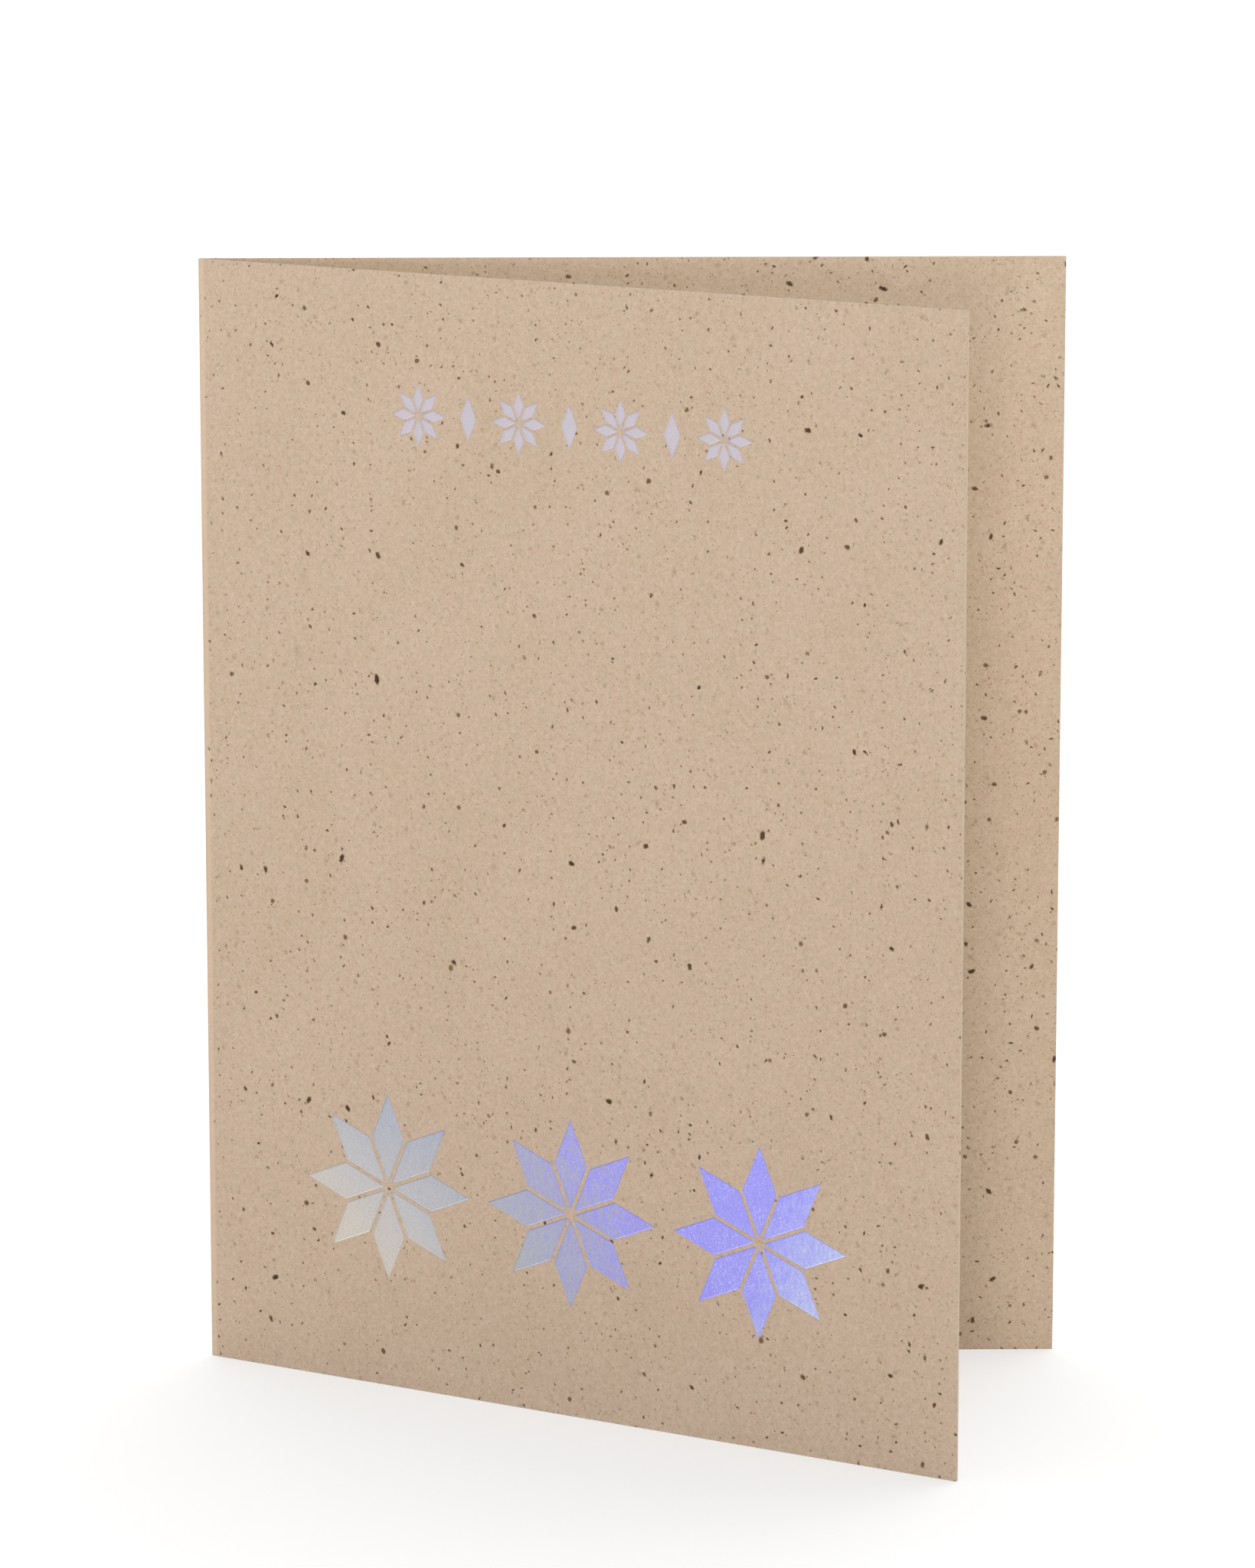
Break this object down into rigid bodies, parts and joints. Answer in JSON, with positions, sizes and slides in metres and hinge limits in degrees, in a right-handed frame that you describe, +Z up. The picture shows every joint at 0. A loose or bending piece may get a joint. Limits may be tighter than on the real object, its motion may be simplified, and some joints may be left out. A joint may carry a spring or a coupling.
{
  "type": "greeting card",
  "caption": "Folded card of speckled kraft board that stands half open in a V, with iridescent foil stars stamped into its cover.",
  "frame": {"origin": "on the surface the card stands on, under the middle of the box it fills", "axes": "+Z up along the fold, +X from the fold towards the back panel's free edge, +Y out of the back panel's rear face; the cover faces -Y and swings towards it"},
  "size_m": [0.1075, 0.0576, 0.1404],
  "materials": {
    "kraft_board": "uncoated, speckled",
    "foil": "satin, iridescent"
  },
  "bodies": {
    "root": {"card": "kraft_board", "large_star_1": "foil", "large_star_2": "foil", "large_star_3": "foil", "small_star_1": "foil", "small_star_2": "foil", "small_star_3": "foil", "small_star_4": "foil", "small_lozenge_1": "foil", "small_lozenge_2": "foil", "small_lozenge_3": "foil"}
  },
  "joints": []
}
